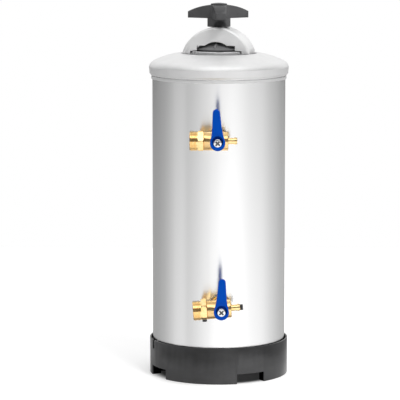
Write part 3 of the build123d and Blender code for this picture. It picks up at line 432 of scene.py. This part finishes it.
def turned(node, stations, origin, axis, up, sharp):
    """A closed skin of rings round an axis: stations are (reach, radius).

    A radius is a number, or a function of the angle round the axis.
    """
    side = axis.cross(up)
    points, faces = [], []
    for reach, radius in stations:
        for column in range(UNION_COLUMNS):
            angle = tau * column / UNION_COLUMNS
            size = radius(angle) if callable(radius) else radius
            offset = axis * reach + (up * cos(angle) + side * sin(angle)) * size
            points.append(origin + offset * MM)
    for ring in range(len(stations)):
        here = ring * UNION_COLUMNS
        after = (ring + 1) % len(stations) * UNION_COLUMNS
        for column in range(UNION_COLUMNS):
            beside = (column + 1) % UNION_COLUMNS
            faces.append((here + column, after + column, after + beside, here + beside))
    mesh = bpy.data.meshes.new(f"{node}_rings")
    mesh.from_pydata(points, [], faces)
    shape = bmesh.new()
    shape.from_mesh(mesh)
    bmesh.ops.recalc_face_normals(shape, faces=shape.faces)
    shape.to_mesh(mesh)
    shape.free()
    shade_smooth(mesh, sharp)
    stand_for(node, mesh, looks[node])


def thread(reach, limit):
    """Radius round the axis of a right-hand thread at one reach, held under a limit."""
    root_share, flank_share = 0.06, 0.56

    def radius(angle):
        phase = (reach / THREAD_PITCH - angle / tau) % 1.0
        rise = 0.5 - 0.5 * cos(tau * phase)
        flank = min(1.0, max(0.0, (rise - root_share) / flank_share))
        return min(limit, THREAD_CREST - THREAD_DEPTH * (1.0 - flank))
    return radius


def hexagon(reach, turn):
    """Radius round the axis of a hexagon with turned corners, cut flat below."""
    corner_slope, side = 1.2, tau / 6
    limit = HEXAGON_CORNER + corner_slope * min(reach - HEXAGON_LEFT, HEXAGON_RIGHT - reach)

    def radius(angle):
        size = HEXAGON_HALF_FLATS / cos((angle - turn) % side - side / 2)
        below = -cos(angle)
        if below * size > HEXAGON_CUT_BELOW:
            size = HEXAGON_CUT_BELOW / below
        return min(size, limit)
    return radius


def add_union(tap):
    """Hexagon with turned corners and a helical thread, bored through."""
    origin, along, up, _ = tap_frame(tap)
    turn = radians(HEXAGON_TURN[tap])
    step_over = 0.02
    stations = [(THREAD_END, WIDE_BORE), (THREAD_END, THREAD_FACE)]
    for step in range(THREAD_STEPS + 1):
        run = (THREAD_RELIEF - THREAD_END - step_over) * step / THREAD_STEPS
        reach = THREAD_END + step_over + run
        stations.append((reach, thread(reach, THREAD_CHAMFER + (reach - THREAD_END))))
    stations.append((THREAD_RELIEF + step_over, RELIEF_RADIUS))
    stations.append((HEXAGON_LEFT, RELIEF_RADIUS))
    edges = (0.0, 0.3, 0.6, 0.9)
    reaches = [HEXAGON_LEFT + edge for edge in edges]
    reaches += [HEXAGON_RIGHT - edge for edge in reversed(edges)]
    stations += [(reach, hexagon(reach, turn)) for reach in reaches]
    stations += [(HEXAGON_RIGHT, SPIGOT_RADIUS), (SPIGOT_END, SPIGOT_RADIUS),
                 (SPIGOT_END, NARROW_BORE), (HEXAGON_RIGHT, NARROW_BORE),
                 (HEXAGON_RIGHT, WIDE_BORE)]
    turned(f"{tap}_union", stations, origin, along, up, sharp=32)


class Sheet:
    """Points and faces of a closed skin, in mm across a plane, up it and out of it."""

    def __init__(self):
        self.shape = bmesh.new()

    def loop(self, outline, out):
        return [self.shape.verts.new((across, up, out)) for across, up in outline]

    def wall(self, first, second):
        """A band of faces between two loops of one length."""
        count = len(first)
        for number in range(count):
            after = (number + 1) % count
            self.shape.faces.new((first[number], first[after], second[after], second[number]))

    def walls(self, loops):
        """Bands of faces from each loop to the next."""
        for first, second in zip(loops, loops[1:]):
            self.wall(first, second)

    def fill(self, *loops):
        """A flat face inside the first loop and outside the others."""
        edges = []
        for loop in loops:
            for number, point in enumerate(loop):
                pair = (point, loop[(number + 1) % len(loop)])
                edges.append(self.shape.edges.get(pair) or self.shape.edges.new(pair))
        bmesh.ops.triangle_fill(self.shape, edges=edges, use_beauty=True)

    def finish(self, name, origin, along, up, front, sharp=35):
        """The mesh of the skin, with the plane brought to its place in the scene."""
        bmesh.ops.recalc_face_normals(self.shape, faces=self.shape.faces)
        for point in self.shape.verts:
            across, height, out = point.co
            point.co = origin + (along * across + up * height + front * out) * MM
        mesh = bpy.data.meshes.new(name)
        self.shape.to_mesh(mesh)
        self.shape.free()
        shade_smooth(mesh, sharp)
        return mesh


def circle(radius, rise=0.0, count=64):
    """A circle's points, clockwise from the top, its centre raised by the rise."""
    angles = [tau * number / count for number in range(count)]
    return [(radius * sin(angle), rise + radius * cos(angle)) for angle in angles]


def inset(outline, distance):
    """The outline moved inwards; its points run clockwise."""
    moved = []
    for number, (x, y) in enumerate(outline):
        before, after = outline[number - 1], outline[(number + 1) % len(outline)]
        run, rise = after[0] - before[0], after[1] - before[1]
        length = hypot(run, rise)
        moved.append((x + rise / length * distance, y - run / length * distance))
    return moved


# The lever's arm, (height over the pivot, half-width), and the boss round the pivot
ARM = ((3.4, 9.3), (5.5, 8.85), (8, 8.2), (11, 7.5), (14, 7.0), (18, 6.5), (22, 6.05), (26, 5.7),
       (30, 5.4), (34, 5.1), (37, 4.85), (39.3, 4.7))
BOSS_RADIUS = 9.9
# the lever's faces, off the tap's axis, and the rounding of its front edge
LEVER_FRONT = 32.0
ARM_BACK = LEVER_FRONT - 6.4
BOSS_BACK = LEVER_FRONT - 10.0
LEVER_ROUNDING = 1.2
# the well in its front: (radius, depth), and how far its centre stands over the pivot
WELL = ((7.6, 0.0), (7.45, 0.1), (7.4, 0.3), (7.3, 4.6), (7.0, 5.0))
WELL_RISE = 2.1
STEM_BORE = 3.3
# the boss behind the arm: (radius, distance from its back)
BOSS_SKIRT = ((9.05, 0.0), (9.35, 0.3), (9.35, ARM_BACK - BOSS_BACK))


def lever_outline():
    """Clockwise from the arm's root on the left: up the arm, round its tip and round the boss."""
    tip_height, tip_radius = ARM[-1]
    tip_steps, boss_steps = 16, 30
    boss_start, boss_sweep = 74, 212
    left = [(-width, height) for height, width in ARM]
    right = [(width, height) for height, width in reversed(ARM)]
    arcs = [pi * n / tip_steps for n in range(1, tip_steps)]
    tip = [(-tip_radius * cos(arc), tip_height + tip_radius * sin(arc)) for arc in arcs]
    turns = [radians(boss_start + boss_sweep * n / boss_steps) for n in range(boss_steps + 1)]
    boss = [(BOSS_RADIUS * sin(turn), BOSS_RADIUS * cos(turn)) for turn in turns]
    return left + tip + right + boss


def lever_frame(tap):
    """The tap's origin and the directions across the lever, up its arm and off the tank."""
    origin, _, _, front = tap_frame(tap)
    _, right = bearings(TAP_AZIMUTH[tap])
    lean = radians(LEVER_LEAN[tap])
    across = right * cos(lean) + UP * sin(lean)
    return origin, across, front.cross(across), front


def add_lever(tap):
    """Moulded lever: waisted arm with rounded edges, a boss and an off-centre well."""
    lever = Sheet()
    outline = lever_outline()
    rim = [lever.loop(outline, ARM_BACK)]
    steps = 5
    for step in range(steps + 1):
        angle = pi / 2 * step / steps
        rim.append(lever.loop(inset(outline, LEVER_ROUNDING * (1 - cos(angle))),
                              LEVER_FRONT - LEVER_ROUNDING + LEVER_ROUNDING * sin(angle)))
    lever.walls(rim)
    well = [lever.loop(circle(radius, WELL_RISE), LEVER_FRONT - depth) for radius, depth in WELL]
    lever.fill(rim[-1], well[0])
    lever.walls(well)
    well_depth = WELL[-1][1]
    bore = [lever.loop(circle(STEM_BORE), out) for out in (LEVER_FRONT - well_depth, BOSS_BACK)]
    lever.fill(well[-1], bore[0])
    lever.walls(bore)
    boss = [lever.loop(circle(radius), BOSS_BACK + out) for radius, out in BOSS_SKIRT]
    lever.fill(boss[0], bore[1])
    lever.walls(boss)
    lever.fill(rim[0], boss[-1])
    mesh = lever.finish(f"{tap}_lever_skin", *lever_frame(tap))
    stand_for(f"{tap}_lever", mesh, lever_plastic)


# The lever's screw: the underside of its head, its shank, and its head as (radius, height)
SCREW_SEAT = LEVER_FRONT - 3.0
SHANK_RADIUS = 2.0
SHANK_LENGTH = 7.0
SCREW_DOME = ((5.45, 0.0), (5.7, 0.25), (5.7, 1.2), (5.6, 1.65), (5.3, 2.05), (4.9, 2.28),
              (4.45, 2.36))
# and its cross recess at the rim and at the floor: height, then arm, half-width and corner
RECESS_RIM = (2.3, (3.8, 1.15, 1.9))
RECESS_FLOOR = (0.7, (2.9, 0.7, 1.0))


def cross(arm, half_width, corner, count=64):
    """Outline of a cross recess with rounded inner corners, as a circle's points drawn in."""
    quarter, least_sine = tau / 4, 0.02
    points = []
    for number in range(count):
        angle = tau * number / count
        off_arm = abs(angle % quarter - quarter / 2)
        size = min(arm, max(half_width / max(sin(off_arm), least_sine), corner))
        points.append((size * sin(angle), size * cos(angle)))
    return points


def add_screw(tap):
    """Round-headed screw with a wide cross recess, the recess in painted shade."""
    head = Sheet()
    shank = [head.loop(circle(SHANK_RADIUS), out)
             for out in (SCREW_SEAT - SHANK_LENGTH, SCREW_SEAT)]
    head.fill(shank[0])
    head.walls(shank)
    dome = [head.loop(circle(radius), SCREW_SEAT + out) for radius, out in SCREW_DOME]
    head.fill(dome[0], shank[1])
    head.walls(dome)
    rim, floor = (head.loop(cross(*shape), SCREW_SEAT + out)
                  for out, shape in (RECESS_RIM, RECESS_FLOOR))
    head.wall(dome[-1], rim)
    # the recess's walls and floor take the painted shade material
    first_shaded = len(head.shape.faces)
    head.wall(rim, floor)
    head.fill(floor)
    head.shape.faces.ensure_lookup_table()
    for face in head.shape.faces[first_shaded:]:
        face.material_index = 1
    mesh = head.finish(f"{tap}_screw_skin", *lever_frame(tap))
    stand_for(f"{tap}_lever_screw", mesh, chrome, painted_shade_recess)


LID_BOTTOM = 440.0
LID_AZIMUTH = -10.5
LID_COLUMNS = 360
RIB_COUNT = 6
RIB_HALF_WIDTH = 2.3
RIB_FLANK = 1.4
# plain rings of the lid, (radius, height): the boss on top, then the rim and the hollow underside
LID_BOSS = ((3.0, 10.0), (8.0, 10.0), (9.0, 9.9))
LID_RIM = ((31.1, 1.7), (31.4, 1.4), (31.4, 0.0), (25.9, 0.0), (8.5, 4.8), (3.0, 4.8))
# and those that the ribs cross: (radius, height between the ribs, height on a rib)
LID_RIBBED = ((11, 9.4, 9.75), (13, 8.8, 9.6), (15.5, 7.8, 9.3), (18.5, 6.5, 8.8),
              (21.5, 5.2, 8.1), (24.5, 4.0, 7.1), (27, 2.9, 5.7), (28.6, 2.2, 4.4),
              (29.1, 1.9, 3.6), (29.4, 1.7, 1.8))


def add_lid():
    """Lid with a boss, six tall ribs, scooped flanks between them and a hollow underside."""
    skin = Sheet()
    spacing = tau / RIB_COUNT

    def ring(radius, scoop, rib=0.0):
        points = []
        for column in range(LID_COLUMNS):
            angle = tau * column / LID_COLUMNS
            off_rib = radius * abs(sin((angle + spacing / 2) % spacing - spacing / 2))
            share = min(1.0, max(0.0, (RIB_HALF_WIDTH - off_rib) / RIB_FLANK))
            height = scoop + ((rib - scoop) * share * share if rib else 0.0)
            points.append(skin.shape.verts.new((radius * sin(angle), height, radius * cos(angle))))
        return points

    rings = [ring(*sizes) for sizes in LID_BOSS + LID_RIBBED + LID_RIM]
    skin.walls(rings)
    skin.shape.faces.new(rings[0])
    skin.shape.faces.new(rings[-1])
    front, right = bearings(LID_AZIMUTH)
    mesh = skin.finish("lid_skin", Vector((0, 0, LID_BOTTOM)) * MM, right, UP, front, 40)
    stand_for("lid", mesh, lid_plastic)


# Width of the rounding on the nodes that keep their shape, in metres
rounding = {"base_skirt": 0.0005, "yoke": 0.0005, "knob": 0.0011, "knob_cap": 0.0003}
for part, width in (("body", 0.0004), ("lock_nut", 0.0004), ("gland", 0.0003)):
    rounding.update({f"{tap}_{part}": width for tap in TAPS})

add_lid()
for tap in TAPS:
    add_union(tap)
    add_lever(tap)
    add_screw(tap)
for node, width in rounding.items():
    softened(node, width)


# Camera, floor and light

CAMERA_PLACE = (0.0, -3.163, 0.6546)
# how far it looks down and to the left, in degrees
CAMERA_DOWN = 7.55
CAMERA_LEFT = 0.46
CAMERA_LENS = 211.9
SENSOR_WIDTH = 36.0
CLIP_START, CLIP_END = 0.05, 50.0


def add_camera():
    """The photograph's own view of the object."""
    data = bpy.data.cameras.new("camera")
    data.lens = CAMERA_LENS
    data.sensor_width = SENSOR_WIDTH
    data.clip_start = CLIP_START
    data.clip_end = CLIP_END
    camera = bpy.data.objects.new("camera", data)
    bpy.context.scene.collection.objects.link(camera)
    camera.location = CAMERA_PLACE
    camera.rotation_euler = (radians(90 - CAMERA_DOWN), 0.0, radians(CAMERA_LEFT))
    bpy.context.scene.camera = camera


FLOOR_LEFT, FLOOR_RIGHT, FLOOR_FRONT, FLOOR_BACK = -0.9, 0.9, -0.6, 1.1
FLOOR_ROUGHNESS = 0.7
# tone of the floor by distance from the middle: a painted shadow under the base, then pale
FLOOR_TONES_AND_PAINTED_SHADOW = ((0.080, 0.05), (0.092, 0.88))
# lift of the floor's colour where the camera sees it, so that it runs into the white behind
FLOOR_GLOW = 0.29


def maths(tree, operation, first, second):
    """A sum or product and the like of two numbers or sockets."""
    node = tree.nodes.new("ShaderNodeMath")
    node.operation = operation
    for socket, value in zip(node.inputs, (first, second)):
        if isinstance(value, (int, float)):
            socket.default_value = value
        else:
            tree.links.new(value, socket)
    return node.outputs["Value"]


def add_floor():
    """Pale floor with a painted shadow where the base stands on it."""
    mesh = bpy.data.meshes.new("floor")
    corners = [(FLOOR_LEFT, FLOOR_FRONT, 0), (FLOOR_RIGHT, FLOOR_FRONT, 0),
               (FLOOR_RIGHT, FLOOR_BACK, 0), (FLOOR_LEFT, FLOOR_BACK, 0)]
    mesh.from_pydata(corners, [], [(0, 1, 2, 3)])
    floor = bpy.data.objects.new("floor", mesh)
    bpy.context.scene.collection.objects.link(floor)
    material = bpy.data.materials.new("floor_white")
    material.use_nodes = True
    tree = material.node_tree
    shader = tree.nodes["Principled BSDF"]
    shader.inputs["Roughness"].default_value = FLOOR_ROUGHNESS
    place = tree.nodes.new("ShaderNodeTexCoord")
    reach = tree.nodes.new("ShaderNodeVectorMath")
    reach.operation = "LENGTH"
    tree.links.new(place.outputs["Object"], reach.inputs[0])
    tone = tree.nodes.new("ShaderNodeValToRGB")
    for stop, (distance, level) in zip(tone.color_ramp.elements, FLOOR_TONES_AND_PAINTED_SHADOW):
        stop.position = distance
        stop.color = grey(level)
    tree.links.new(reach.outputs["Value"], tone.inputs["Fac"])
    tree.links.new(tone.outputs["Color"], shader.inputs["Base Color"])
    path = tree.nodes.new("ShaderNodeLightPath")
    glow = maths(tree, "MULTIPLY", path.outputs["Is Camera Ray"], FLOOR_GLOW)
    tree.links.new(tone.outputs["Color"], shader.inputs["Emission Color"])
    tree.links.new(glow, shader.inputs["Emission Strength"])
    mesh.materials.append(material)
    floor.visible_glossy = False


# Levels of the studio's light in the reflections, each (bearing, level) or (height, level).
# Bearings are in degrees from the front towards +X. Heights are -1 straight down to 1 straight up.

# the walls round the object, set after the steel's shades in the photograph
WALLS = (
    (-180, 0.34), (-146, 0.35), (-128, 0.39), (-113, 0.46), (-102, 0.56), (-91, 0.68),
    (-80, 0.82), (-70, 0.87), (-61, 0.87), (-58, 0.77), (-50, 0.81), (-41, 0.89), (-30, 1.00),
    (-22, 1.10), (-8, 1.26), (6, 1.40), (23, 1.48), (38, 1.38), (48, 1.27), (57, 1.18),
    (74, 1.09), (83, 1.03), (92, 0.91), (104, 0.77), (115, 0.66), (127, 0.56), (139, 0.49),
    (180, 0.36),
)
# and how far up they reach: the floor's light, then the dark room round the camera
LOW_LIGHT = ((-1.0, 0.95), (-0.40, 1.07), (-0.12, 1.14), (-0.05, 0.42), (0.02, 0.16),
             (0.50, 0.16), (0.62, 0.0))
# the light overhead
TOP_LIGHT = ((-1.0, 0.0), (0.52, 0.0), (0.66, 0.80), (1.0, 0.80))
# the soft box high in front
FRONT_BOX = ((-1.0, 0.0), (0.62, 0.0), (0.70, 1.0), (0.90, 1.0), (0.96, 0.0))
FRONT_SIDES = ((-180, 0.0), (-75, 0.0), (-35, 1.6), (45, 1.6), (80, 0.0), (180, 0.0))
# the pale wall behind the object
BACK_LIGHT = ((-1.0, 0.0), (0.04, 0.0), (0.14, 1.0), (0.50, 1.0), (0.70, 0.2), (1.0, 0.2))
BACK_WALL = ((-180, 1.0), (-130, 1.0), (-95, 0.0), (95, 0.0), (130, 1.0), (180, 1.0))
# what lights the dull surfaces: mostly from overhead
OVERHEAD = ((-1.0, 0.34), (0.0, 0.44), (0.35, 0.72), (1.0, 0.94))
# the highest level by bearing and by height, which the ramps hold as 1
BEARING_TOP = 1.7
HEIGHT_TOP = 1.4


def levels(tree, source, low, high, stops, top):
    """A grey ramp over a source's range: stops are (value, level), and the top level is 1."""
    share = tree.nodes.new("ShaderNodeMapRange")
    share.inputs["From Min"].default_value = low
    share.inputs["From Max"].default_value = high
    tree.links.new(source, share.inputs["Value"])
    ramp = tree.nodes.new("ShaderNodeValToRGB")
    ramp.color_ramp.interpolation = "EASE"
    elements = ramp.color_ramp.elements
    for number, (value, level) in enumerate(stops):
        position = (value - low) / (high - low)
        stop = elements[number] if number < 2 else elements.new(position)
        stop.position = position
        stop.color = grey(level / top)
    tree.links.new(share.outputs["Result"], ramp.inputs["Fac"])
    return ramp.outputs["Color"]


def add_world():
    """White behind the object, even light on it, and a studio in its reflections."""
    world = bpy.data.worlds.new("studio")
    bpy.context.scene.world = world
    world.use_nodes = True
    tree = world.node_tree
    tree.nodes.clear()
    place = tree.nodes.new("ShaderNodeTexCoord")
    split = tree.nodes.new("ShaderNodeSeparateXYZ")
    tree.links.new(place.outputs["Generated"], split.inputs[0])
    towards_front = maths(tree, "MULTIPLY", split.outputs["Y"], -1.0)
    bearing = maths(tree, "ARCTAN2", split.outputs["X"], towards_front)

    def by_bearing(stops):
        turned_stops = [(radians(angle), level) for angle, level in stops]
        return levels(tree, bearing, -pi, pi, turned_stops, BEARING_TOP)

    def by_height(stops):
        return levels(tree, split.outputs["Z"], -1.0, 1.0, stops, HEIGHT_TOP)

    def background(strength=1.0):
        node = tree.nodes.new("ShaderNodeBackground")
        node.inputs["Color"].default_value = grey(1)
        if isinstance(strength, float):
            node.inputs["Strength"].default_value = strength
        else:
            tree.links.new(strength, node.inputs["Strength"])
        return node.outputs["Background"]

    def choose(share, first, second):
        node = tree.nodes.new("ShaderNodeMixShader")
        for socket, source in zip(node.inputs, (share, first, second)):
            tree.links.new(source, socket)
        return node.outputs["Shader"]

    light = maths(tree, "DIVIDE", by_height(TOP_LIGHT), BEARING_TOP)
    for around, upward in ((WALLS, LOW_LIGHT), (BACK_WALL, BACK_LIGHT), (FRONT_SIDES, FRONT_BOX)):
        both = maths(tree, "MULTIPLY", by_bearing(around), by_height(upward))
        light = maths(tree, "ADD", light, both)
    studio = background(maths(tree, "MULTIPLY", light, BEARING_TOP * HEIGHT_TOP))
    soft = background(maths(tree, "MULTIPLY", by_height(OVERHEAD), HEIGHT_TOP))
    path = tree.nodes.new("ShaderNodeLightPath")
    lit = choose(path.outputs["Is Diffuse Ray"], studio, soft)
    seen = choose(path.outputs["Is Camera Ray"], lit, background())
    out = tree.nodes.new("ShaderNodeOutputWorld")
    tree.links.new(seen, out.inputs["Surface"])


KEY_PLACE = (0.85, -1.29, 2.3)
KEY_TARGET = (0, 0, 0.4)
KEY_SIDE = 0.8
KEY_POWER = 36.0


def add_key_lamp():
    """Soft box that lights the object and casts its shadow; the world holds what shines."""
    data = bpy.data.lights.new("key", "AREA")
    data.shape = "RECTANGLE"
    data.size = data.size_y = KEY_SIDE
    data.energy = KEY_POWER
    lamp = bpy.data.objects.new("key", data)
    bpy.context.scene.collection.objects.link(lamp)
    lamp.location = KEY_PLACE
    lamp.visible_glossy = False
    aim = Vector(KEY_TARGET) - Vector(KEY_PLACE)
    lamp.rotation_euler = aim.to_track_quat("-Z", "Y").to_euler()


add_camera()
add_floor()
add_world()
add_key_lamp()
bpy.context.scene.view_settings.view_transform = "Standard"
